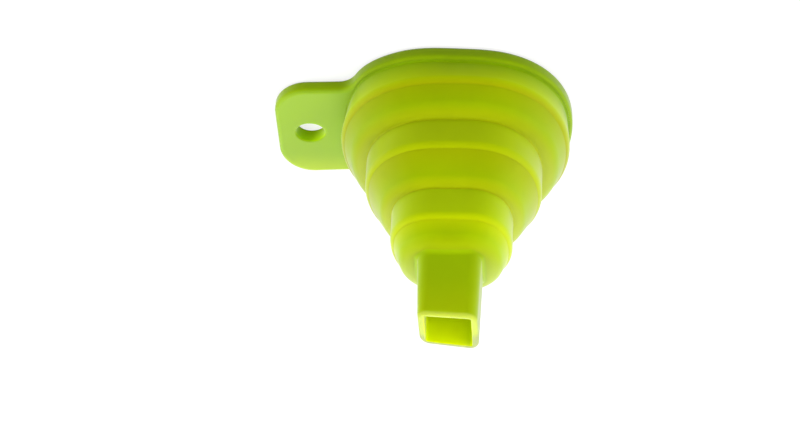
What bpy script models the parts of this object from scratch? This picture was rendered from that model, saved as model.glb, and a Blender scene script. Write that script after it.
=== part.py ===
"""Collapsible kitchen funnel, moulded in silicone rubber.

It stands on its mouth with the spout up. Three stiff rings step inwards from the mouth to the neck, and
the thin folds between them turn inside out, so that the rings and the spout slide down into the mouth.
The funnel's axis is vertical, and the hang tab points along +X.
"""
import math

import bmesh
import bpy

MM = 0.001

# Spout: a square tube that tapers to its end
SPOUT_ROOT_WIDTH = 18.6 * MM
SPOUT_END_WIDTH = 17.1 * MM
SPOUT_CORNER_RADIUS = 3.0 * MM
SPOUT_LENGTH = 20.8 * MM
SPOUT_WALL = 1.9 * MM
COLLAR_LEDGE = 0.4 * MM

# Folds: how far each one steps in and rises, its wall and the swell of its outer face
NECK_FOLD_WIDTH = 4.8 * MM
NECK_FOLD_RISE = 7.0 * MM
MIDDLE_FOLD_WIDTH = 7.2 * MM
MIDDLE_FOLD_RISE = 8.2 * MM
UPPER_FOLD_WIDTH = 6.8 * MM
UPPER_FOLD_RISE = 7.7 * MM
FOLD_WALL = 1.5 * MM
FOLD_CROWN = 1.2 * MM

# Stiff rings: upright walls whose round shoulders thin out to the hinge line above
NECK_RING_HEIGHT = 11.0 * MM
MIDDLE_RING_HEIGHT = 10.5 * MM
MOUTH_RING_HEIGHT = 8.2 * MM
RING_WALL = 2.8 * MM
HINGE_WALL = 1.2 * MM
SHOULDER_RADIUS = 4.0 * MM

# Mouth flange and hang tab, which share one thickness and one edge radius
FLANGE_OVERHANG = 1.6 * MM
FLANGE_THICKNESS = 4.6 * MM
EDGE_RADIUS = 0.8 * MM
TAB_WIDTH = 40.0 * MM
TAB_CORNER_RADIUS = 11.0 * MM
TAB_ROOT_FILLET = 8.0 * MM
TAB_ROOT_WEB = 4.6 * MM
TAB_HOLE_DIAMETER = 9.4 * MM
TAB_END_WEB = 6.1 * MM

# Fineness of the round shapes, and the space kept between neighbouring solids
GAP = 0.3 * MM
TURN_SEGMENTS = 48
ARC_SEGMENTS = 6
TIP_TRIM = math.radians(25)

# Radii add up from the spout outwards
CORNER_REACH = (SPOUT_ROOT_WIDTH / 2 - SPOUT_CORNER_RADIUS) * math.sqrt(2) + SPOUT_CORNER_RADIUS
COLLAR_RADIUS = CORNER_REACH + COLLAR_LEDGE
SHOULDER_INSET = RING_WALL - HINGE_WALL
NECK_RADIUS = COLLAR_RADIUS + NECK_FOLD_WIDTH + SHOULDER_INSET
MIDDLE_RADIUS = NECK_RADIUS + MIDDLE_FOLD_WIDTH + SHOULDER_INSET
MOUTH_RADIUS = MIDDLE_RADIUS + UPPER_FOLD_WIDTH + SHOULDER_INSET
RIM_RADIUS = MOUTH_RADIUS + FLANGE_OVERHANG
TAB_HOLE_X = RIM_RADIUS + TAB_ROOT_WEB + TAB_HOLE_DIAMETER / 2
TAB_REACH = TAB_HOLE_X + TAB_HOLE_DIAMETER / 2 + TAB_END_WEB

# Heights add up from the mouth to the spout's end
MOUTH_RING_BASE = FLANGE_THICKNESS
MOUTH_RING_TOP = MOUTH_RING_BASE + MOUTH_RING_HEIGHT
MIDDLE_RING_BASE = MOUTH_RING_TOP + UPPER_FOLD_RISE
MIDDLE_RING_TOP = MIDDLE_RING_BASE + MIDDLE_RING_HEIGHT
NECK_RING_BASE = MIDDLE_RING_TOP + MIDDLE_FOLD_RISE
NECK_RING_TOP = NECK_RING_BASE + NECK_RING_HEIGHT
COLLAR_TOP = NECK_RING_TOP + NECK_FOLD_RISE

# The funnel's axis stands left of the middle, so that the rim and the tab together are centred on X
AXIS_X = (RIM_RADIUS - TAB_REACH) / 2

SILICONE_ROUGHNESS = 0.42
LIME = (0.36, 0.56, 0.04)
PALE_LIME = (0.42, 0.66, 0.10)


def clear_scene():
    for item in list(bpy.data.objects):
        bpy.data.objects.remove(item, do_unlink=True)


def silicone(name, colour):
    """A satin rubber material of its own for one piece."""
    material = bpy.data.materials.new(name + "_silicone")
    material.use_nodes = True
    shader = material.node_tree.nodes["Principled BSDF"]
    shader.inputs["Base Color"].default_value = (*colour, 1.0)
    shader.inputs["Roughness"].default_value = SILICONE_ROUGHNESS
    shader.inputs["Metallic"].default_value = 0.0
    return material


def empty(name, parent, height):
    """An empty on the funnel's axis, which carries one sliding tier."""
    item = bpy.data.objects.new(name, None)
    bpy.context.collection.objects.link(item)
    item.parent = parent
    item.location.z = height
    return item


def add_piece(name, bm, parent, colour):
    """Make a piece of a bmesh drawn in the funnel's heights, with its origin on the axis at its tier's base."""
    bmesh.ops.translate(bm, verts=bm.verts, vec=(0, 0, -parent.location.z))
    bmesh.ops.recalc_face_normals(bm, faces=bm.faces)
    mesh = bpy.data.meshes.new(name)
    bm.to_mesh(mesh)
    bm.free()
    mesh.shade_smooth()
    mesh.set_sharp_from_angle(angle=math.radians(35))
    mesh.materials.append(silicone(name, colour))
    item = bpy.data.objects.new(name, mesh)
    bpy.context.collection.objects.link(item)
    item.parent = parent
    return item


def loft(loops, around):
    """Skin a row of loops. around also joins the last loop to the first, else the two ends are capped."""
    bm = bmesh.new()
    rows = [[bm.verts.new(point) for point in loop] for loop in loops]
    pairs = list(zip(rows, rows[1:]))
    if around:
        pairs.append((rows[-1], rows[0]))
    else:
        bm.faces.new(rows[0])
        bm.faces.new(rows[-1])
    for low, high in pairs:
        for k in range(len(low)):
            after = (k + 1) % len(low)
            bm.faces.new((low[k], low[after], high[after], high[k]))
    return bm


def circle(radius, height):
    turns = [2 * math.pi * k / TURN_SEGMENTS for k in range(TURN_SEGMENTS)]
    return [(radius * math.cos(a), radius * math.sin(a), height) for a in turns]


def turned(section):
    """A solid of revolution about the funnel's axis, from a closed section of radius and height."""
    return loft([circle(radius, height) for radius, height in section], around=True)


def arc(centre, radius, start, end):
    """Points of a flat arc, with both of its ends."""
    steps = [start + (end - start) * k / ARC_SEGMENTS for k in range(ARC_SEGMENTS + 1)]
    return [(centre[0] + radius * math.cos(a), centre[1] + radius * math.sin(a)) for a in steps]


def swell(start, end, crown):
    """A curve from start to end that swells by crown to its right-hand side."""
    run = (end[0] - start[0], end[1] - start[1])
    length = math.hypot(*run)
    side = (run[1] / length, -run[0] / length)
    points = []
    for k in range(ARC_SEGMENTS + 1):
        t = k / ARC_SEGMENTS
        out = 4 * crown * t * (1 - t)
        points.append((start[0] + run[0] * t + side[0] * out, start[1] + run[1] * t + side[1] * out))
    return points


def rounded_square(width, corner, height):
    """A square loop with round corners, its sides cut into as many steps as its corners."""
    points = []
    flat = width / 2 - corner
    for quarter in range(4):
        turn = quarter * math.pi / 2
        diagonal = turn + math.pi / 4
        middle = (math.sqrt(2) * flat * math.cos(diagonal), math.sqrt(2) * flat * math.sin(diagonal))
        points += arc(middle, corner, turn, turn + math.pi / 2)
        x, y = points[-1]
        for k in range(1, ARC_SEGMENTS):
            step = 2 * flat * k / ARC_SEGMENTS
            points.append((x - step * math.cos(turn), y - step * math.sin(turn)))
    return [(x, y, height) for x, y in points]


def ring(radius, base, top, skirt):
    """A stiff ring: a straight bore, an upright wall and a round shoulder up to the hinge line.

    skirt is how far the wall reaches below its base, to carry the end of the fold there.
    """
    bore = radius - RING_WALL
    turn = math.acos(1 - SHOULDER_INSET / SHOULDER_RADIUS)
    spring = top - SHOULDER_RADIUS * math.sin(turn)
    shoulder = arc((radius - SHOULDER_RADIUS, spring), SHOULDER_RADIUS, 0.0, turn)
    return turned([(bore, base - skirt), (radius, base - skirt)] + shoulder + [(bore, top)])


def fold(outer_radius, low, inner_radius, high):
    """A thin fold from the hinge line of one ring up to the foot of the next, clear of both by GAP."""
    outside = swell((outer_radius, low + GAP), (inner_radius + GAP, high), FOLD_CROWN)
    inside = swell((outer_radius - HINGE_WALL, low + GAP), (inner_radius + GAP, high - FOLD_WALL), FOLD_CROWN)
    return turned(outside + inside[::-1])


def mouth_flange():
    """The thick rim, with round outer edges and the mouth ring's bore."""
    bore = MOUTH_RADIUS - RING_WALL
    face = RIM_RADIUS - EDGE_RADIUS
    low_edge = arc((face, EDGE_RADIUS), EDGE_RADIUS, -math.pi / 2, 0.0)
    high_edge = arc((face, FLANGE_THICKNESS - EDGE_RADIUS), EDGE_RADIUS, 0.0, math.pi / 2)
    return turned([(bore, 0.0)] + low_edge + high_edge + [(bore, FLANGE_THICKNESS)])


def tab_outline(inset, height):
    """The tab seen from above, drawn in by inset: round end corners, and fillets that flow into the rim."""
    root = RIM_RADIUS + GAP
    side = TAB_WIDTH / 2 - inset
    corner = TAB_CORNER_RADIUS - inset
    fillet = TAB_ROOT_FILLET + inset
    fillet_x = math.sqrt((root + fillet) ** 2 - (side + fillet) ** 2)
    lean = math.atan2(side + fillet, fillet_x)
    end_corner = arc((TAB_REACH - inset - corner, side - corner), corner, 0.0, math.pi / 2)
    root_fillet = arc((fillet_x, side + fillet), fillet, -math.pi / 2, lean - math.pi + TIP_TRIM)
    tip = math.atan2(root_fillet[-1][1], root_fillet[-1][0])
    half = end_corner + root_fillet
    foot = arc((0.0, 0.0), root, tip, -tip)
    mirrored = [(x, -y) for x, y in reversed(half)]
    return [(x, y, height) for x, y in half + foot + mirrored]


def hang_tab():
    """The flat tab with round edges."""
    high = FLANGE_THICKNESS
    levels = [
        (EDGE_RADIUS * (1 - math.sin(turn)), EDGE_RADIUS * (1 - math.cos(turn)))
        for turn in (0.0, math.pi / 4, math.pi / 2)
    ]
    low_half = [tab_outline(inset, height) for inset, height in levels]
    high_half = [tab_outline(inset, high - height) for inset, height in reversed(levels)]
    return loft(low_half + high_half, around=False)


def cut_hole(tab, parent):
    """The hang hole, with the tab's edge radius at both of its mouths."""
    radius = TAB_HOLE_DIAMETER / 2
    flare = radius + EDGE_RADIUS
    middle = FLANGE_THICKNESS / 2
    levels = [
        (flare, FLANGE_THICKNESS + EDGE_RADIUS),
        (flare, FLANGE_THICKNESS),
        (radius, FLANGE_THICKNESS - EDGE_RADIUS),
        (radius, EDGE_RADIUS),
        (flare, 0.0),
        (flare, -EDGE_RADIUS),
    ]
    bm = loft([circle(r, h - middle) for r, h in levels], around=False)
    bmesh.ops.recalc_face_normals(bm, faces=bm.faces)
    mesh = bpy.data.meshes.new("hang_hole")
    bm.to_mesh(mesh)
    bm.free()
    cutter = bpy.data.objects.new("hang_hole", mesh)
    bpy.context.collection.objects.link(cutter)
    cutter.parent = parent
    cutter.location = (TAB_HOLE_X, 0.0, middle)
    cutter.hide_render = True
    cutter.display_type = "WIRE"
    cut = tab.modifiers.new("hang_hole", "BOOLEAN")
    cut.operation = "DIFFERENCE"
    cut.object = cutter


def spout_collar():
    """The flat shoulder that carries the spout: a disc with the spout's square bore."""
    low = COLLAR_TOP - SPOUT_WALL
    bore = SPOUT_ROOT_WIDTH - 2 * SPOUT_WALL
    corner = SPOUT_CORNER_RADIUS - SPOUT_WALL
    square_low = rounded_square(bore, corner, low)
    square_high = rounded_square(bore, corner, COLLAR_TOP)

    def disc(height):
        directions = [math.atan2(y, x) for x, y, _ in square_low]
        return [(COLLAR_RADIUS * math.cos(a), COLLAR_RADIUS * math.sin(a), height) for a in directions]

    return loft([disc(low), disc(COLLAR_TOP), square_high, square_low], around=True)


def spout_tube():
    """The tapered square tube, open at both ends."""
    foot = COLLAR_TOP + GAP
    end = COLLAR_TOP + SPOUT_LENGTH
    inner_corner = SPOUT_CORNER_RADIUS - SPOUT_WALL
    loops = [
        rounded_square(SPOUT_ROOT_WIDTH, SPOUT_CORNER_RADIUS, foot),
        rounded_square(SPOUT_END_WIDTH, SPOUT_CORNER_RADIUS, end),
        rounded_square(SPOUT_END_WIDTH - 2 * SPOUT_WALL, inner_corner, end),
        rounded_square(SPOUT_ROOT_WIDTH - 2 * SPOUT_WALL, inner_corner, foot),
    ]
    return loft(loops, around=True)


clear_scene()
funnel = empty("funnel", None, 0.0)
funnel.location.x = AXIS_X
middle_tier = empty("middle_tier", funnel, MIDDLE_RING_BASE)
neck_tier = empty("neck_tier", funnel, NECK_RING_BASE)
spout_tier = empty("spout_tier", funnel, COLLAR_TOP)

add_piece("mouth_flange", mouth_flange(), funnel, LIME)
tab = add_piece("hang_tab", hang_tab(), funnel, PALE_LIME)
cut_hole(tab, funnel)

mouth_ring = ring(MOUTH_RADIUS, MOUTH_RING_BASE + GAP, MOUTH_RING_TOP, 0.0)
add_piece("mouth_ring", mouth_ring, funnel, LIME)
upper_fold = fold(MOUTH_RADIUS - SHOULDER_INSET, MOUTH_RING_TOP, MIDDLE_RADIUS, MIDDLE_RING_BASE)
add_piece("upper_fold", upper_fold, funnel, PALE_LIME)

middle_ring = ring(MIDDLE_RADIUS, MIDDLE_RING_BASE, MIDDLE_RING_TOP, FOLD_WALL)
add_piece("middle_ring", middle_ring, middle_tier, LIME)
middle_fold = fold(MIDDLE_RADIUS - SHOULDER_INSET, MIDDLE_RING_TOP, NECK_RADIUS, NECK_RING_BASE)
add_piece("middle_fold", middle_fold, middle_tier, PALE_LIME)

neck_ring = ring(NECK_RADIUS, NECK_RING_BASE, NECK_RING_TOP, FOLD_WALL)
add_piece("neck_ring", neck_ring, neck_tier, LIME)
neck_fold = fold(NECK_RADIUS - SHOULDER_INSET, NECK_RING_TOP, COLLAR_RADIUS, COLLAR_TOP)
add_piece("neck_fold", neck_fold, neck_tier, PALE_LIME)

add_piece("spout_collar", spout_collar(), spout_tier, PALE_LIME)
add_piece("spout", spout_tube(), spout_tier, LIME)
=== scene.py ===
import math

import bmesh
import bpy
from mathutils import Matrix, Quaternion, Vector


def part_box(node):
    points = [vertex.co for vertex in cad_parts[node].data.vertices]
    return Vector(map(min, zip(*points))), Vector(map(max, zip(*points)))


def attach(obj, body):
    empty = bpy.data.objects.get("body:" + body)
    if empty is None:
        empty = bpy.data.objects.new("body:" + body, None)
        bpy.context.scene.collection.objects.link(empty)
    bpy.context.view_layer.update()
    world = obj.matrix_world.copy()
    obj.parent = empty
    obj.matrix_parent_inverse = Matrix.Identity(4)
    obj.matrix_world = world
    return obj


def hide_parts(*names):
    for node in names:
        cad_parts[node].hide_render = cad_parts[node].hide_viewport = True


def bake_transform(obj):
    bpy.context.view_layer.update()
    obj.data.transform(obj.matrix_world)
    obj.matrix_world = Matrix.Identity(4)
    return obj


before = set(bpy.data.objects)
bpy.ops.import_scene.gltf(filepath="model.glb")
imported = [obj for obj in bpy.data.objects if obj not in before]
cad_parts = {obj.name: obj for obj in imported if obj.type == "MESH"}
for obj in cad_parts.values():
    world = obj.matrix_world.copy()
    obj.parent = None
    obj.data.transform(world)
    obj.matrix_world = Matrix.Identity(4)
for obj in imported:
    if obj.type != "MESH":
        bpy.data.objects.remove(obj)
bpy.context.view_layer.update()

# Mouth rim and hang tab: one flat plate of silicone around the mouth, which stiffens it and is what the
# funnel stands on. The tab grows out of the rim through two hollow fillets, and a hole through it takes
# a hook. Its edges come round out of the mould, and being soft it lies a little out of round.
MM = 0.001
flange_low, flange_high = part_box("mouth_flange")
tab_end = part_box("hang_tab")[1].x
axis_x = (flange_low.x + flange_high.x) / 2
rim_radius = (flange_high.x - flange_low.x) / 2
plate_top = flange_high.z
tab_stretch = 0.3 * MM
tab_reach = tab_end - axis_x + tab_stretch
mouth_bore = 33.1 * MM
tab_half = 20.2 * MM
tab_corner = 11.5 * MM
tab_fillet = 8.0 * MM
hole_radius = 4.6 * MM
hole_x = tab_reach - 10.6 * MM
hole_y = 0.4 * MM
plate_edge = 1.3 * MM
hole_edge = 0.5 * MM
hole_foot = 0.1 * MM
bore_edge = 0.8 * MM
fill_margin = 0.25 * MM
wave_depth = 0.75 * MM
wave_turn = math.radians(5)
press_depth = 1.3 * MM
press_angle = math.radians(-93)
press_spread = math.radians(20)
pull_reach = 0.6 * MM
pull_angle = math.radians(-44)
pull_spread = math.radians(12)
skew_start = 30 * MM
skew_end = 50 * MM
tab_tone_start = 25 * MM
tab_tone_end = 38 * MM
hole_margin = 2 * MM
far_edge_start = 10 * MM
far_edge_end = 21 * MM
TAB_WIDENING = 0.05
TAB_SKEW = 0.028
HOLE_LENGTH = 1.02
HOLE_WIDTH = 0.96
HOLE_POINTS = 64
BORE_POINTS = 192
CORNERS = 4
MOULDED_CREASE = 50
FACING = (0.3, 0.9)
ARC_STEPS = 14
EDGE_STEPS = 6
FACE_CUTS = 5
# Light and shade painted into the rim's tones: the rim away from the tab is painted in shade, deeper than the
# tab; the tab's flat face is paler, with a painted reflection; its far edge has a painted highlight; and the
# wall of the hole has a painted glow of light coming through it.
RIM_TONE = (0.30, 0.475, 0.028)
RIM_SHADE_TONE = (0.262, 0.41, 0.003)
TAB_EDGE_TONE = (0.315, 0.49, 0.002)
TAB_FAR_HIGHLIGHT_TONE = (0.42, 0.57, 0.03)
HOLE_GLOW_TONE = (0.485, 0.72, 0.004)


def silicone(name, light_depth):
    """Satin silicone rubber: a colour that drifts a little, a soft grain and light that enters the wall."""
    material = bpy.data.materials.new(name)
    material.use_nodes = True
    nodes = material.node_tree.nodes
    link = material.node_tree.links.new
    shader = nodes["Principled BSDF"]
    place = nodes.new("ShaderNodeTexCoord")

    # Each point's colour, with its painted light and shade, read from the mesh.
    colour_and_painted_light = nodes.new("ShaderNodeAttribute")
    colour_and_painted_light.attribute_name = "colour_and_painted_light"
    drift = nodes.new("ShaderNodeTexNoise")
    drift.inputs["Scale"].default_value = 55.0
    drift.inputs["Detail"].default_value = 3.0
    link(place.outputs["Object"], drift.inputs["Vector"])
    strength = nodes.new("ShaderNodeMapRange")
    strength.inputs["To Min"].default_value = 0.92
    strength.inputs["To Max"].default_value = 1.08
    link(drift.outputs["Fac"], strength.inputs["Value"])
    tint = nodes.new("ShaderNodeHueSaturation")
    link(colour_and_painted_light.outputs["Color"], tint.inputs["Color"])
    link(strength.outputs["Result"], tint.inputs["Value"])
    link(tint.outputs["Color"], shader.inputs["Base Color"])

    satin = nodes.new("ShaderNodeMapRange")
    satin.inputs["To Min"].default_value = 0.38
    satin.inputs["To Max"].default_value = 0.52
    link(drift.outputs["Fac"], satin.inputs["Value"])
    link(satin.outputs["Result"], shader.inputs["Roughness"])

    grain = nodes.new("ShaderNodeTexNoise")
    grain.inputs["Scale"].default_value = 2600.0
    grain.inputs["Detail"].default_value = 2.0
    link(place.outputs["Object"], grain.inputs["Vector"])
    skin = nodes.new("ShaderNodeBump")
    skin.inputs["Strength"].default_value = 0.06
    skin.inputs["Distance"].default_value = 0.0001
    link(grain.outputs["Fac"], skin.inputs["Height"])
    link(skin.outputs["Normal"], shader.inputs["Normal"])

    edge_on = nodes.new("ShaderNodeLayerWeight")
    edge_on.inputs["Blend"].default_value = 0.5
    falloff = nodes.new("ShaderNodeMath")
    falloff.operation = "POWER"
    falloff.inputs[1].default_value = 2.0
    gloss = nodes.new("ShaderNodeMapRange")
    gloss.inputs["To Min"].default_value = 0.01
    gloss.inputs["To Max"].default_value = 0.95
    link(edge_on.outputs["Facing"], falloff.inputs[0])
    link(falloff.outputs["Value"], gloss.inputs["Value"])
    link(gloss.outputs["Result"], shader.inputs["Specular IOR Level"])

    shader.inputs["Subsurface Weight"].default_value = 0.6
    shader.inputs["Subsurface Radius"].default_value = (1.0, 1.0, 0.1)
    shader.inputs["Subsurface Scale"].default_value = light_depth
    shader.inputs["Sheen Weight"].default_value = 0.7
    shader.inputs["Sheen Roughness"].default_value = 0.25
    return material


def arc(centre_x, centre_y, radius, start, end, steps):
    """Points of a flat arc, with both of its ends."""
    angles = [start + (end - start) * k / steps for k in range(steps + 1)]
    return [(centre_x + radius * math.cos(a), centre_y + radius * math.sin(a)) for a in angles]


def ease(value, low, high):
    """A smooth step from 0 at low to 1 at high."""
    t = min(max((value - low) / (high - low), 0.0), 1.0)
    return t * t * (3 - 2 * t)


def hump(angle, centre, spread):
    """A smooth hump of height 1 around the axis at one angle."""
    return math.exp(-((angle - centre) / spread) ** 2)


def as_it_lies(x, y, share):
    """Where a point of the soft rim comes to lie, measured from the axis."""
    angle = math.atan2(y, x)
    reach = math.hypot(x, y)
    waves = -wave_depth * math.cos(CORNERS * (angle + wave_turn))
    pressed = -press_depth * hump(angle, press_angle, press_spread)
    pulled = pull_reach * hump(angle, pull_angle, pull_spread)
    scale = 1 + share * (waves + pressed + pulled) / reach
    along_tab = ease(x, skew_start, skew_end)
    wider = 1 + TAB_WIDENING * along_tab if y > 0 else 1.0
    return x * scale + TAB_SKEW * y * along_tab, y * scale * wider


def rim_outline(inset):
    """Rim and tab seen from above as one outline, drawn in by inset."""
    rim = rim_radius - inset
    side = tab_half - inset
    corner = tab_corner - inset
    fillet = tab_fillet + inset
    fillet_x = math.sqrt((rim + fillet) ** 2 - (side + fillet) ** 2)
    lean = math.atan2(side + fillet, fillet_x)
    half = arc(tab_reach - inset - corner, side - corner, corner, 0.0, math.pi / 2, ARC_STEPS)
    half += arc(fillet_x, side + fillet, fillet, -math.pi / 2, lean - math.pi, ARC_STEPS)
    half += arc(0.0, 0.0, rim, lean, math.pi, 6 * ARC_STEPS)[1:]
    return half + [(x, -y) for x, y in reversed(half[:-1])]


def hole_outline(inset):
    """The hole, drawn a little long by the pull of the tab."""
    round_hole = arc(0.0, 0.0, hole_radius + inset, 0.0, 2 * math.pi, HOLE_POINTS)[:-1]
    return [(hole_x + HOLE_LENGTH * x, hole_y + HOLE_WIDTH * y) for x, y in round_hole]


def bore_outline(inset):
    """The inner edge of the rim, around the open mouth."""
    return arc(0.0, 0.0, mouth_bore + inset, 0.0, 2 * math.pi, BORE_POINTS)[:-1]


def edge_levels(low_edge, high_edge):
    """Inset and height up the plate's wall, whose lower and upper edges are round."""
    turns = [math.pi / 2 * k / EDGE_STEPS for k in range(EDGE_STEPS + 1)]
    low = [(low_edge * (1 - math.sin(t)), low_edge * (1 - math.cos(t))) for t in turns]
    high = [(high_edge * (1 - math.cos(t)), plate_top - high_edge * (1 - math.sin(t))) for t in turns]
    return [(low_edge + fill_margin, 0.0)] + low + high + [(high_edge + fill_margin, plate_top)]


def skin_loops(bm, loops):
    """Quads between each loop and the next. Returns the loops' vertices."""
    rows = [[bm.verts.new((x + axis_x, y, z)) for x, y, z in loop] for loop in loops]
    for low, high in zip(rows, rows[1:]):
        for k in range(len(low)):
            after = (k + 1) % len(low)
            bm.faces.new((low[k], low[after], high[after], high[k]))
    return rows


def plate_wall(bm, outline, levels):
    """One wall of the plate, from its outline at each inset and height."""
    return skin_loops(bm, [[(*as_it_lies(x, y, 1.0), z) for x, y in outline(i)] for i, z in levels])


def fill_flat(bm, loops):
    """A flat face between an outer loop and the loops of the holes in it. Returns the edges that cross it."""
    edges = []
    for loop in loops:
        for k in range(len(loop)):
            edges.append(bm.edges.get((loop[k], loop[(k + 1) % len(loop)])))
    filled = bmesh.ops.triangle_fill(bm, use_beauty=True, edges=edges)["geom"]
    faces = {part for part in filled if isinstance(part, bmesh.types.BMFace)}
    crossing = [part for part in filled if isinstance(part, bmesh.types.BMEdge)]
    return [edge for edge in crossing if faces.issuperset(edge.link_faces)]


def mesh_of(bm):
    """A plain mesh of what has been skinned and filled, with its faces turned outwards."""
    bmesh.ops.recalc_face_normals(bm, faces=bm.faces)
    mesh = bpy.data.meshes.new("moulded")
    bm.to_mesh(mesh)
    bm.free()
    return mesh


def finished_piece(name, mesh, material, sharp):
    """An object at the origin with smooth faces, creased where they meet at more than sharp degrees."""
    mesh.name = name
    mesh.shade_smooth()
    mesh.set_sharp_from_angle(angle=math.radians(sharp))
    mesh.materials.clear()
    mesh.materials.append(material)
    piece = bpy.data.objects.new(name, mesh)
    bpy.context.scene.collection.objects.link(piece)
    return piece


def tone_mix(tone, other, share):
    """One tone gone over into another by a share."""
    return tuple(a + (b - a) * share for a, b in zip(tone, other))


def paint(mesh, tone_at):
    """Give every point of a mesh its own colour, with light and shade painted in, which the silicone reads.
    """
    colour_and_painted_light = mesh.attributes.new("colour_and_painted_light", "FLOAT_COLOR", "POINT")
    for vertex, value in zip(mesh.vertices, colour_and_painted_light.data):
        value.color = (*tone_at(vertex), 1.0)


def rim_tone(vertex):
    """Painted light: a pale tab face, a highlight on its far edge, shade elsewhere, a glow in the hole."""
    from_hole = math.hypot(vertex.co.x - axis_x - hole_x, vertex.co.y - hole_y)
    on_tab = ease(vertex.co.x - axis_x, tab_tone_start, tab_tone_end)
    face = on_tab * ease(abs(vertex.normal.z), *FACING)
    # A painted glow of light coming through the wall of the hole.
    if from_hole < hole_radius + hole_margin:
        return tone_mix(HOLE_GLOW_TONE, RIM_TONE, face)
    # Painted shade on the rim away from the tab; the tab's flat face paler, with a painted reflection.
    tone = tone_mix(tone_mix(RIM_SHADE_TONE, TAB_EDGE_TONE, on_tab), RIM_TONE, face)
    # A painted highlight along the tab's far edge.
    return tone_mix(tone, TAB_FAR_HIGHLIGHT_TONE, face * ease(vertex.co.y, far_edge_start, far_edge_end))


plate = bmesh.new()
bore_levels = edge_levels(bore_edge, bore_edge)[:EDGE_STEPS + 2]
bore_levels += [(0.0, plate_top - bore_edge), (bore_edge, plate_top)]
outer_rows = plate_wall(plate, rim_outline, edge_levels(plate_edge, plate_edge))
hole_rows = plate_wall(plate, hole_outline, edge_levels(hole_foot, hole_edge))
bore_rows = plate_wall(plate, bore_outline, bore_levels)
crossing_edges = fill_flat(plate, [outer_rows[0], hole_rows[0], bore_rows[0]])
crossing_edges += fill_flat(plate, [outer_rows[-1], hole_rows[-1], bore_rows[-1]])
bmesh.ops.subdivide_edges(plate, edges=crossing_edges, cuts=FACE_CUTS, use_grid_fill=True)
rim_silicone = silicone("rim_silicone", light_depth=2.5 * MM)
mouth_rim = finished_piece("mouth_rim", mesh_of(plate), rim_silicone, MOULDED_CREASE)
paint(mouth_rim.data, rim_tone)
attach(mouth_rim, "mouth")
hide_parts("mouth_flange", "hang_tab")

# Mouth ring: the widest and lowest of three stiff silicone rings, moulded onto the rim with a small hollow.
# Its upright wall rolls over into a round shoulder, which thins at the hinge of the fold above.
# Like all the tiers it is a little square in plan, after the spout, and a little flattened in front.
ring_wall = 2.8 * MM
shoulder_radius = 3.0 * MM
shoulder_inset = 1.2 * MM
hinge_rise = 0.3 * MM
lap = 0.8 * MM
seat = 0.4 * MM
foot_hollow = 0.7 * MM
foot_flare = 0.8 * MM
foot_sink = 0.03 * MM
corner_bulge = 0.55 * MM
corner_turn = math.radians(-2)
front_press = 1.0 * MM
front_angle = math.radians(-93)
front_spread = math.radians(22)
weld_distance = 0.002 * MM
PATH_RADIUS = 1.0 * MM
TURN_SEGMENTS = 192
TURNED_CREASE = 35
hinge_turn = math.acos(1 - shoulder_inset / shoulder_radius)
# Light and shade painted up the wall by height: painted shade in the hollow at its foot and low on the wall,
# a lighter wall, and a shoulder painted a yellower highlight tone, kept darker than the wall.
GROOVE_SHADE_TONE = (0.23, 0.385, 0.001)
MOUTH_FOOT_TONE = (0.385, 0.57, 0.001)
MOUTH_WALL_TONE = (0.485, 0.66, 0.001)
MOUTH_SHOULDER_TONE = (0.385, 0.435, 0.001)


def lathe_tree():
    """Geometry nodes that turn a section about the funnel's axis, each corner rounded to its own radius."""
    tree = bpy.data.node_groups.new("turned_on_axis", "GeometryNodeTree")
    sockets = {}
    for label, kind in (
        ("Section", "NodeSocketGeometry"),
        ("Axis X", "NodeSocketFloat"),
        ("Turn Segments", "NodeSocketInt"),
        ("Corner Steps", "NodeSocketInt"),
        ("Material", "NodeSocketMaterial"),
    ):
        sockets[label] = tree.interface.new_socket(label, in_out="INPUT", socket_type=kind).identifier
    tree.interface.new_socket("Turned", in_out="OUTPUT", socket_type="NodeSocketGeometry")
    new = tree.nodes.new
    link = tree.links.new
    given = new("NodeGroupInput")
    result = new("NodeGroupOutput")
    laid_flat = new("GeometryNodeTransform")
    laid_flat.inputs["Rotation"].default_value = (math.pi / 2, 0.0, 0.0)
    laid_flat.inputs["Translation"].default_value = (-PATH_RADIUS, 0.0, 0.0)
    line = new("GeometryNodeMeshToCurve")
    corner = new("GeometryNodeInputNamedAttribute")
    corner.data_type = "FLOAT"
    corner.inputs["Name"].default_value = "corner"
    rounded = new("GeometryNodeFilletCurve")
    rounded.mode = "POLY"
    rounded.inputs["Limit Radius"].default_value = True
    path = new("GeometryNodeCurvePrimitiveCircle")
    path.inputs["Radius"].default_value = PATH_RADIUS
    sweep = new("GeometryNodeCurveToMesh")
    joined = new("GeometryNodeMergeByDistance")
    joined.inputs["Distance"].default_value = weld_distance
    offset = new("ShaderNodeCombineXYZ")
    centred = new("GeometryNodeTransform")
    real = new("GeometryNodeRealizeInstances")
    painted = new("GeometryNodeSetMaterial")
    link(given.outputs["Section"], laid_flat.inputs["Geometry"])
    link(laid_flat.outputs["Geometry"], line.inputs["Mesh"])
    link(line.outputs["Curve"], rounded.inputs["Curve"])
    link(given.outputs["Corner Steps"], rounded.inputs["Count"])
    link(corner.outputs["Attribute"], rounded.inputs["Radius"])
    link(given.outputs["Turn Segments"], path.inputs["Resolution"])
    link(path.outputs["Curve"], sweep.inputs["Curve"])
    link(rounded.outputs["Curve"], sweep.inputs["Profile Curve"])
    link(given.outputs["Axis X"], offset.inputs["X"])
    link(sweep.outputs["Mesh"], joined.inputs["Geometry"])
    link(joined.outputs["Geometry"], centred.inputs["Geometry"])
    link(offset.outputs["Vector"], centred.inputs["Translation"])
    link(centred.outputs["Geometry"], real.inputs["Geometry"])
    link(real.outputs["Geometry"], painted.inputs["Geometry"])
    link(given.outputs["Material"], painted.inputs["Material"])
    link(painted.outputs["Geometry"], result.inputs["Turned"])
    return tree, sockets


turned_tree, turned_sockets = lathe_tree()


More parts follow.
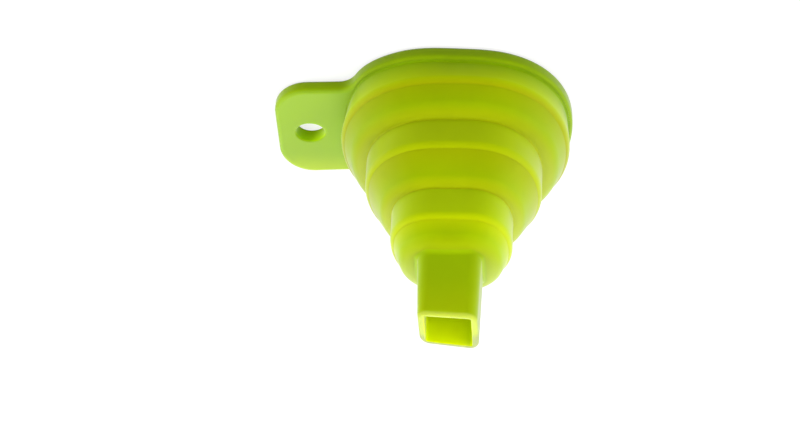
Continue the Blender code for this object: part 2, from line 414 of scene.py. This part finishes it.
def turned(name, section, closed, material, corner_steps=10):
    """Turn a section of radius, height and corner radius, which runs down its outer side."""
    count = len(section)
    edges = [(k, k + 1) for k in range(count - 1)] + ([(count - 1, 0)] if closed else [])
    outline = bpy.data.meshes.new(name + "_section")
    outline.from_pydata([(radius, 0.0, height) for radius, height, _ in section], edges, [])
    rounding = outline.attributes.new("corner", "FLOAT", "POINT")
    rounding.data.foreach_set("value", [corner for _, _, corner in section])
    blank = bpy.data.objects.new(name + "_section", outline)
    bpy.context.scene.collection.objects.link(blank)
    lathe = blank.modifiers.new("lathe", "NODES")
    lathe.node_group = turned_tree
    lathe[turned_sockets["Axis X"]] = axis_x
    lathe[turned_sockets["Turn Segments"]] = TURN_SEGMENTS
    lathe[turned_sockets["Corner Steps"]] = corner_steps
    lathe[turned_sockets["Material"]] = material
    graph = bpy.context.evaluated_depsgraph_get()
    mesh = bpy.data.meshes.new_from_object(blank.evaluated_get(graph))
    bpy.data.objects.remove(blank)
    bpy.data.meshes.remove(outline)
    return finished_piece(name, mesh, material, TURNED_CREASE)


def ring_size(node):
    """Outer radius, foot and hinge height of a ring."""
    low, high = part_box(node)
    return (high.x - low.x) / 2, low.z, high.z + hinge_rise


def shoulder_point(radius, hinge, past, sunk):
    """A point on a ring's shoulder, so far past its hinge line or before it, and sunk into the wall."""
    turn = hinge_turn + past / shoulder_radius
    from_centre = shoulder_radius - sunk
    centre_x = radius - shoulder_radius
    centre_z = hinge - shoulder_radius * math.sin(hinge_turn)
    return centre_x + from_centre * math.cos(turn), centre_z + from_centre * math.sin(turn)


def ring_section(radius, hinge, foot):
    """A ring's wall from its bore over the shoulder, which laps under the fold, and down to its foot."""
    end_x, end_z = shoulder_point(radius, hinge, lap, 0.0)
    turn = hinge_turn + lap / shoulder_radius
    knee = end_z - shoulder_radius * math.tan(turn / 2) * math.cos(turn)
    bore = radius - ring_wall
    return [
        (bore, hinge - seat, 0.0),
        (end_x, end_z, 0.0),
        (radius, knee, shoulder_radius),
        (radius, foot, 0.0),
        (bore, foot, 0.0),
    ]


def out_of_round(angle):
    """How much further out than a circle the tiers lie, most at their four corners and least in front."""
    corners = corner_bulge * (1 - math.cos(CORNERS * (angle + corner_turn)))
    flattened = front_press * hump(angle, front_angle, front_spread)
    return corners - flattened


def lay_square(mesh, share_at):
    """Bring a turned wall into the tiers' plan, by the share that each height and reach takes."""
    for vertex in mesh.vertices:
        x = vertex.co.x - axis_x
        y = vertex.co.y
        reach = math.hypot(x, y)
        scale = 1 + share_at(vertex.co.z, reach) * out_of_round(math.atan2(y, x)) / reach
        vertex.co.x = axis_x + x * scale
        vertex.co.y = y * scale


def in_full(height, reach):
    """The share of a wall that takes the tiers' plan all over."""
    return 1.0


def tone_up(*stops):
    """A tone that goes over from each height's own to the next."""
    def tone_at(vertex):
        tone = stops[0][1]
        for (low, _), (high, next_tone) in zip(stops, stops[1:]):
            tone = tone_mix(tone, next_tone, ease(vertex.co.z, low, high))
        return tone
    return tone_at


mouth_radius, _, mouth_hinge = ring_size("mouth_ring")
mouth_square = mouth_hinge - 2 * MM
ring_silicone = silicone("ring_silicone", light_depth=2.0 * MM)
mouth_section = ring_section(mouth_radius, mouth_hinge, plate_top - seat)
mouth_section[3:4] = [
    (mouth_radius, plate_top, foot_hollow),
    (mouth_radius + foot_flare, plate_top - foot_sink, 0.0),
    (mouth_radius + foot_flare, plate_top - seat, 0.0),
]
mouth_wall = turned("mouth_wall", mouth_section, True, ring_silicone)
for vertex in mouth_wall.data.vertices:
    share = 1 - ease(vertex.co.z, plate_top, mouth_square)
    lies_x, lies_y = as_it_lies(vertex.co.x - axis_x, vertex.co.y, share)
    vertex.co.x = lies_x + axis_x
    vertex.co.y = lies_y
lay_square(mouth_wall.data, lambda height, reach: ease(height, plate_top, mouth_square))
# Painted shade in the hollow and at the foot, painted light up the wall, a yellower painted tone on the
# shoulder.
paint(mouth_wall.data, tone_up(
    (plate_top, GROOVE_SHADE_TONE),
    (plate_top + 2 * foot_hollow, MOUTH_FOOT_TONE),
    (mouth_hinge - shoulder_radius, MOUTH_WALL_TONE),
    (mouth_hinge, MOUTH_SHOULDER_TONE),
))
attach(mouth_wall, "mouth")
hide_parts("mouth_ring")

# Upper fold: the thin silicone wall between the mouth ring and the middle ring, moulded in one with them. It
# rises steeply and rolls over before it meets the middle ring. It turns inside out when that ring is pushed
# down, so it is made as a skin of its own between the two.
fold_wall = 1.2 * MM
skirt = 1.5 * MM
ring_ease = 0.25 * MM
roll_radius = 6.0 * MM
hinge_fillet = 2.0 * MM
foot_fillet = 0.8 * MM
upper_slope = math.radians(63.5)
upper_drop = 0.35 * MM
roll_depth = 2.5 * MM
touch_depth = 0.04 * MM
touch_height = 1.1 * MM
tuck_depth = 0.4 * MM
tuck_height = 1.7 * MM
skim_back = 0.9 * MM
skim_depth = 0.05 * MM
sink_back = 1.4 * MM
sink_depth = 0.4 * MM
middle_sag = 0.5 * MM
# Light and shade painted along the fold: a yellower painted light at the hinge crease and over the roll, and
# a greener tone on the steep part between.
UPPER_HINGE_TONE = (0.36, 0.45, 0.001)
UPPER_FOLD_TONE = (0.335, 0.47, 0.001)
UPPER_ROLL_TONE = (0.37, 0.44, 0.001)
fold_silicone = silicone("fold_silicone", light_depth=2.0 * MM)


def under_ring(radius, base):
    """The end of a fold, which turns up against the wall of the ring above it and sinks into it."""
    return [
        (radius - tuck_depth, base + tuck_height, 0.0),
        (radius - touch_depth, base + touch_height, 0.0),
        (radius, base, foot_fillet),
    ]


def fold_section(ring_radius, hinge, end_z, slope, drop, above):
    """From what is above over the roll, steeply down and out into the shoulder below."""
    crease_x = ring_radius - shoulder_inset
    roll_z = end_z - drop
    roll_x = crease_x - (roll_z - hinge) / math.tan(slope)
    return above + [
        (roll_x, roll_z, roll_radius),
        (crease_x, hinge, hinge_fillet),
        (*shoulder_point(ring_radius, hinge, -skim_back, skim_depth), 0.0),
        (*shoulder_point(ring_radius, hinge, -sink_back, sink_depth), 0.0),
    ]


def fold_skin(name, section):
    """A fold's outer skin, given its wall inwards by a modifier that stays live."""
    piece = turned(name, section, False, fold_silicone, corner_steps=12)
    wall = piece.modifiers.new("wall", "SOLIDIFY")
    wall.thickness = fold_wall
    wall.offset = -1.0
    return piece


middle_radius, middle_foot, middle_hinge = ring_size("middle_ring")
middle_radius -= ring_ease
middle_hinge -= middle_sag
middle_base = middle_foot + skirt
upper_section = fold_section(
    mouth_radius, mouth_hinge, middle_base, upper_slope, upper_drop, under_ring(middle_radius, middle_base),
)
upper_skin = fold_skin("upper_skin", upper_section)
lay_square(upper_skin.data, in_full)
# Painted light at the hinge crease and over the roll.
paint(upper_skin.data, tone_up(
    (mouth_hinge, UPPER_HINGE_TONE),
    (middle_base - roll_depth, UPPER_FOLD_TONE),
    (middle_base, UPPER_ROLL_TONE),
))
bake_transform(upper_skin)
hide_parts("upper_fold")

# Middle ring: the second stiff ring of the moulding, which slides down into the mouth ring as the upper fold
# turns over. Its foot reaches down behind the fold's end.
# Light and shade painted up the wall by height, as on the mouth ring: painted shade at the foot, a lighter
# wall and a yellower painted highlight tone on the shoulder.
MIDDLE_FOOT_TONE = (0.41, 0.53, 0.001)
MIDDLE_WALL_TONE = (0.44, 0.59, 0.001)
MIDDLE_SHOULDER_TONE = (0.45, 0.55, 0.001)
middle_section = ring_section(middle_radius, middle_hinge, middle_foot)
middle_wall = turned("middle_wall", middle_section, True, ring_silicone)
lay_square(middle_wall.data, in_full)
paint(middle_wall.data, tone_up(
    (middle_base, MIDDLE_FOOT_TONE),
    (middle_hinge - shoulder_radius, MIDDLE_WALL_TONE),
    (middle_hinge, MIDDLE_SHOULDER_TONE),
))
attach(middle_wall, "middle_tier")
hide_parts("middle_ring")

# Middle fold: the second thin silicone wall, moulded in one with the middle ring and the neck ring. It rolls
# over as the upper fold does, one step further in and a little less steep.
middle_slope = math.radians(60)
middle_drop = 0.5 * MM
neck_lift = 0.5 * MM
# Light and shade painted along the fold as on the upper fold, each tone a step lighter, as the light grows
# towards the spout.
MIDDLE_HINGE_TONE = (0.39, 0.465, 0.001)
MIDDLE_FOLD_TONE = (0.36, 0.495, 0.001)
MIDDLE_ROLL_TONE = (0.405, 0.475, 0.001)
neck_radius, neck_foot, neck_hinge = ring_size("neck_ring")
neck_radius -= ring_ease
neck_base = neck_foot + skirt + neck_lift
middle_fold_section = fold_section(
    middle_radius, middle_hinge, neck_base, middle_slope, middle_drop, under_ring(neck_radius, neck_base),
)
middle_skin = fold_skin("middle_skin", middle_fold_section)
lay_square(middle_skin.data, in_full)
paint(middle_skin.data, tone_up(
    (middle_hinge, MIDDLE_HINGE_TONE),
    (neck_base - roll_depth, MIDDLE_FOLD_TONE),
    (neck_base, MIDDLE_ROLL_TONE),
))
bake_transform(middle_skin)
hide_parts("middle_fold")

# Neck ring: the third and narrowest stiff ring of the moulding, which slides down into the middle ring. Its
# foot reaches down behind the middle fold's end.
# Light and shade painted up the wall by height: painted shade at the foot, a lighter wall and a bright,
# yellower painted highlight on the shoulder.
NECK_FOOT_TONE = (0.43, 0.58, 0.001)
NECK_WALL_TONE = (0.48, 0.66, 0.001)
NECK_SHOULDER_TONE = (0.545, 0.66, 0.001)
neck_section = ring_section(neck_radius, neck_hinge, neck_foot)
neck_wall = turned("neck_wall", neck_section, True, ring_silicone)
lay_square(neck_wall.data, in_full)
paint(neck_wall.data, tone_up(
    (neck_base, NECK_FOOT_TONE),
    (neck_hinge - shoulder_radius, NECK_WALL_TONE),
    (neck_hinge, NECK_SHOULDER_TONE),
))
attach(neck_wall, "neck_tier")
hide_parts("neck_ring")

# Neck fold: the last thin silicone wall, a round dome that closes in on the spout. Past the edge of the
# spout's collar it no longer bends, and it ends inside the spout's square wall.
neck_slope = math.radians(68)
dome_drop = 0.6 * MM
dome_flat = 8.0 * MM
dome_depth = 3 * MM
collar_ease = 0.2 * MM
edge_margin = 0.1 * MM
COLLAR_STEPS = 6
# Light and shade painted along the dome: a bright painted light at the hinge crease, a fold lighter than the
# middle fold's, and painted shade, yellower, over the dome's top.
NECK_HINGE_TONE = (0.53, 0.655, 0.001)
NECK_FOLD_TONE = (0.415, 0.58, 0.001)
DOME_TONE = (0.385, 0.49, 0.001)
spout_low, spout_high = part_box("spout")
spout_end = spout_high.z
root_half = (spout_high.x - spout_low.x) / 2 + collar_ease
root_corner = 3.8 * MM
spout_wall = 1.9 * MM
collar_low, collar_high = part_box("spout_collar")
collar_radius = (collar_high.x - collar_low.x) / 2 + collar_ease
collar_z = collar_high.z - collar_ease
dome_section = fold_section(
    neck_radius, neck_hinge, collar_z, neck_slope, dome_drop, [(collar_radius, collar_z, 0.0)],
)
dome_lean = math.atan2(dome_drop, dome_section[1][0] - collar_radius)
dome_radius = (collar_radius - dome_flat) / math.sin(dome_lean)


def dome_height(reach):
    """Height of the collar's upper face, which goes on from the dome and levels out at the spout."""
    across = max(reach - dome_flat, 0.0) / dome_radius
    return collar_z + dome_radius * (math.sqrt(1 - across * across) - math.cos(dome_lean))


def square_reach(angle, half, corner):
    """How far a square with round corners reaches from the axis."""
    c, s = abs(math.cos(angle)), abs(math.sin(angle))
    flat = half - corner
    reach = half / max(c, s)
    if min(c, s) * reach > flat:
        along = flat * (c + s)
        reach = along + math.sqrt(max(along * along - 2 * flat * flat + corner * corner, 0.0))
    return reach


def mix(a, b, t):
    """A number on the way from a to b."""
    return a + (b - a) * t


def carry_on_dome(mesh):
    """Carry the dome's upper edge on over the collar, as far as the middle of the spout's wall."""
    bm = bmesh.new()
    bm.from_mesh(mesh)
    edge = [v for v in bm.verts if v.is_boundary and v.co.z > collar_z - edge_margin]
    edge.sort(key=lambda v: math.atan2(v.co.y, v.co.x - axis_x))
    angles = [math.atan2(v.co.y, v.co.x - axis_x) for v in edge]
    inside = [square_reach(a, root_half - spout_wall / 2, root_corner - spout_wall / 2) for a in angles]
    rows = [edge]
    for step in range(1, COLLAR_STEPS + 1):
        row = []
        for angle, end in zip(angles, inside):
            reach = mix(collar_radius, end, step / COLLAR_STEPS)
            place = (axis_x + reach * math.cos(angle), reach * math.sin(angle), dome_height(reach))
            row.append(bm.verts.new(place))
        rows.append(row)
    for outer, inner in zip(rows, rows[1:]):
        for k in range(len(outer)):
            after = (k + 1) % len(outer)
            bm.faces.new((outer[k], outer[after], inner[after], inner[k])).smooth = True
    bm.to_mesh(mesh)
    bm.free()


neck_skin = fold_skin("neck_skin", dome_section)
carry_on_dome(neck_skin.data)
lay_square(neck_skin.data, lambda height, reach: ease(reach, collar_radius, neck_radius - shoulder_inset))
# Painted light at the hinge crease, painted shade over the dome's top.
paint(neck_skin.data, tone_up(
    (neck_hinge, NECK_HINGE_TONE),
    (collar_z - dome_depth, NECK_FOLD_TONE),
    (collar_z, DOME_TONE),
))
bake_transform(neck_skin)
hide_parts("neck_fold")

# Spout: a tapered square tube of the same silicone, with round corners and a plain open lip, which is pale
# where the light comes through it. It is moulded onto a collar on the dome, through a hollow fillet.
spout_taper = 0.75 * MM
end_half = root_half - spout_taper
end_corner = 3.2 * MM
bore_corner = 0.9 * MM
lip_round = 1.2 * MM
lip_inner_round = 0.3 * MM
root_fillet = 1.3 * MM
bore_fillet = 1.2 * MM
collar_wall = 1.4 * MM
toe = 0.5 * MM
toe_sink = 0.04 * MM
toe_skim = 0.012 * MM
least_fillet = 0.4 * MM
end_lean = 1.3 * MM
far_lean = 0.5 * MM
END_SKEW = 0.16
FAR_SKEW = 0.06
AROUND = 256
FILLET_STEPS = 6
LIP_STEPS = 7
WALL_STEPS = 8
SIDE_SHARE = 0.7
# Light and shade painted into the spout: lighter and yellower towards the end, painted shade on the side away
# from the tab, painted light at the lip, deeper and greyer on the far side, and a painted glow in the bore.
SPOUT_TONE = (0.38, 0.55, 0.001)
SPOUT_END_LIGHT_TONE = (0.45, 0.59, 0.001)
SPOUT_SHADE_TONE = (0.33, 0.47, 0.001)
LIP_LIGHT_TONE = (0.50, 0.595, 0.065)
FAR_LIP_TONE = (0.37, 0.425, 0.14)
BORE_GLOW_TONE = (0.72, 0.82, 0.001)


def spout_profile(angle):
    """The spout's section at one angle: from the collar up the wall, over the lip and down the bore."""
    root = square_reach(angle, root_half, root_corner)
    hollow = min(root_fillet, max(collar_radius - root, least_fillet))
    foot = root + hollow
    points = [
        (foot + toe, dome_height(foot + toe) - toe_sink),
        (foot + toe / 2, dome_height(foot + toe / 2) - toe_skim),
        (foot, dome_height(foot)),
    ]
    start, bend = Vector(points[-1]), Vector((root, dome_height(root)))
    top = bend + Vector((0.0, hollow))
    for k in range(1, FILLET_STEPS + 1):
        t = k / FILLET_STEPS
        points.append(tuple(start.lerp(bend, t).lerp(bend.lerp(top, t), t)))
    for k in range(1, WALL_STEPS + 1):
        t = k / WALL_STEPS
        half = mix(root_half, end_half, t)
        corner = mix(root_corner, end_corner, t)
        points.append((square_reach(angle, half, corner), mix(top.y, spout_end - lip_round, t)))
    turns = [math.pi / 2 * k / LIP_STEPS for k in range(1, LIP_STEPS + 1)]
    for turn in turns:
        away = lip_round * (1 - math.cos(turn))
        height = spout_end - lip_round * (1 - math.sin(turn))
        points.append((square_reach(angle, end_half - away, end_corner - away), height))
    bore_half = end_half - spout_wall
    for turn in [0.0] + turns:
        away = lip_inner_round * (1 - math.sin(turn))
        height = spout_end - lip_inner_round * (1 - math.cos(turn))
        points.append((square_reach(angle, bore_half + away, bore_corner + away), height))
    root_bore = root_half - spout_wall
    under = collar_z - collar_wall
    for k in range(1, WALL_STEPS + 1):
        t = k / WALL_STEPS
        height = mix(spout_end - lip_inner_round, under + bore_fillet, t)
        points.append((square_reach(angle, mix(bore_half, root_bore, t), bore_corner), height))
    for turn in turns:
        away = bore_fillet * (1 - math.cos(turn))
        height = under + bore_fillet * (1 - math.sin(turn))
        points.append((square_reach(angle, root_bore + away, bore_corner + away), height))
    points.append((foot + toe, under))
    return points


def spout_point(angle, reach, height):
    """A point of the spout, which being soft leans back and askew towards its end, its far wall most."""
    x = reach * math.cos(angle)
    y = reach * math.sin(angle)
    far = y / end_half
    lean = end_lean + far_lean * far - (END_SKEW + FAR_SKEW * far) * x
    return x, y + lean * ease(height, collar_z, spout_end), height


def spout_tone(vertex):
    """Painted light and shade: yellower towards the end, deeper away from the tab, pale lip, bright bore."""
    up = (vertex.co.z - collar_z) / (spout_end - collar_z)
    outward = Vector((vertex.co.x - axis_x, vertex.co.y, 0.0)).normalized().dot(vertex.normal)
    tone = tone_mix(SPOUT_TONE, SPOUT_END_LIGHT_TONE, ease(up, 0.3, 1.0))
    off_tab = ease(axis_x - vertex.co.x, 0.5 * end_half, end_half)
    tone = tone_mix(tone, SPOUT_SHADE_TONE, SIDE_SHARE * off_tab)
    lip = tone_mix(LIP_LIGHT_TONE, FAR_LIP_TONE, ease(vertex.co.y, 0.2 * end_half, 0.7 * end_half))
    tone = tone_mix(tone, lip, ease(vertex.co.z, spout_end - lip_round, spout_end - 0.3 * lip_round))
    return tone_mix(tone, BORE_GLOW_TONE, ease(-outward, *FACING))


angles = [2 * math.pi * k / AROUND for k in range(AROUND)]
profiles = [spout_profile(angle) for angle in angles]
tube = bmesh.new()
tube_loops = []
for row in range(len(profiles[0])):
    tube_loops.append([spout_point(angle, *profile[row]) for angle, profile in zip(angles, profiles)])
tube_rows = skin_loops(tube, tube_loops)
for k in range(AROUND):
    after = (k + 1) % AROUND
    tube.faces.new((tube_rows[-1][k], tube_rows[-1][after], tube_rows[0][after], tube_rows[0][k]))
spout_silicone = silicone("spout_silicone", light_depth=2.5 * MM)
spout_tube = finished_piece("spout_tube", mesh_of(tube), spout_silicone, MOULDED_CREASE)
paint(spout_tube.data, spout_tone)
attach(spout_tube, "spout_tier")
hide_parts("spout", "spout_collar")

# Table: a plain sheet of white paper, far wider than the view. It lies just under the rim that the funnel
# stands on and keeps its soft shadow.
table_half = 3.0
table_drop = 0.2 * MM
table_mesh = bpy.data.meshes.new("table")
table_mesh.from_pydata(
    [(x * table_half, y * table_half, -table_drop) for x, y in ((-1, -1), (1, -1), (1, 1), (-1, 1))],
    [], [(0, 1, 2, 3)],
)
table = bpy.data.objects.new("table", table_mesh)
bpy.context.scene.collection.objects.link(table)
paper = bpy.data.materials.new("white_paper")
paper.use_nodes = True
paper_nodes = paper.node_tree.nodes
paper_link = paper.node_tree.links.new
paper_shader = paper_nodes["Principled BSDF"]
paper_shader.inputs["Base Color"].default_value = (0.31, 0.31, 0.31, 1.0)
paper_shader.inputs["Roughness"].default_value = 0.9
paper_shader.inputs["Specular IOR Level"].default_value = 0.0
paper_shader.inputs["Emission Color"].default_value = (1.0, 1.0, 1.0, 1.0)
seen = paper_nodes.new("ShaderNodeLightPath")
seen_straight = paper_nodes.new("ShaderNodeMath")
seen_straight.operation = "MAXIMUM"
seen_through = paper_nodes.new("ShaderNodeMath")
seen_through.operation = "MAXIMUM"
glow = paper_nodes.new("ShaderNodeMath")
glow.operation = "MULTIPLY"
glow.inputs[1].default_value = 0.74
paper_link(seen.outputs["Is Camera Ray"], seen_straight.inputs[0])
paper_link(seen.outputs["Is Glossy Ray"], seen_straight.inputs[1])
paper_link(seen_straight.outputs["Value"], seen_through.inputs[0])
paper_link(seen.outputs["Is Transmission Ray"], seen_through.inputs[1])
paper_link(seen_through.outputs["Value"], glow.inputs[0])
paper_link(glow.outputs["Value"], paper_shader.inputs["Emission Strength"])
table_mesh.materials.append(paper)

# Light: a pale studio with a large cloth soft box on a stand behind the funnel and one on each side of it,
# so that its front lies a little in the shade between them.
lamp_aim = Vector((axis_x, 0.0, 30 * MM))
world = bpy.data.worlds.new("studio")
bpy.context.scene.world = world
world.use_nodes = True
walls = world.node_tree.nodes["Background"]
walls.inputs["Color"].default_value = (1.0, 1.0, 1.0, 1.0)
walls.inputs["Strength"].default_value = 0.32


def soft_box(name, place, size, power):
    """A rectangular soft box aimed at the middle of the funnel."""
    lamp = bpy.data.lights.new(name, "AREA")
    lamp.shape = "RECTANGLE"
    lamp.size, lamp.size_y = size
    lamp.energy = power
    box = bpy.data.objects.new(name, lamp)
    bpy.context.scene.collection.objects.link(box)
    box.location = place
    box.rotation_euler = (lamp_aim - box.location).to_track_quat("-Z", "Y").to_euler()


soft_box("back_box", (axis_x, 0.60, 0.42), (1.2, 0.7), 6.0)
soft_box("left_box", (-0.68, -0.15, 0.46), (0.8, 0.8), 6.9)
soft_box("right_box", (0.66, -0.15, 0.46), (0.8, 0.8), 6.4)

# Camera: a long lens in front of the funnel and above it, turned over so that the spout points down the
# picture. Its place was found by fitting the funnel's outline.
PICTURE_WIDTH = 800
camera_turn = math.radians(-3.78)
camera_height = math.radians(35.67)
camera_roll = math.pi + math.radians(3.57)
camera_distance = 510.1 * MM
focal_pixels = 1661.5
aim_right = 16.08 * MM
aim_up = 3.61 * MM
aim_level = 35.0 * MM
lens = bpy.data.cameras.new("photo_camera")
lens.sensor_width = 36.0
lens.lens = focal_pixels * lens.sensor_width / PICTURE_WIDTH
camera = bpy.data.objects.new("photo_camera", lens)
bpy.context.scene.collection.objects.link(camera)
away = Vector((math.sin(camera_turn), -math.cos(camera_turn), 0.0)) * math.cos(camera_height)
away.z = math.sin(camera_height)
across = Vector((math.cos(camera_turn), math.sin(camera_turn), 0.0))
centre = Vector((axis_x, 0.0, aim_level))
camera.location = centre + away * camera_distance
sight = centre + across * aim_right + away.cross(across) * aim_up - camera.location
camera.rotation_mode = "QUATERNION"
camera.rotation_quaternion = sight.to_track_quat("-Z", "Y") @ Quaternion((0.0, 0.0, 1.0), camera_roll)
bpy.context.scene.camera = camera
bpy.context.scene.view_settings.view_transform = "Standard"
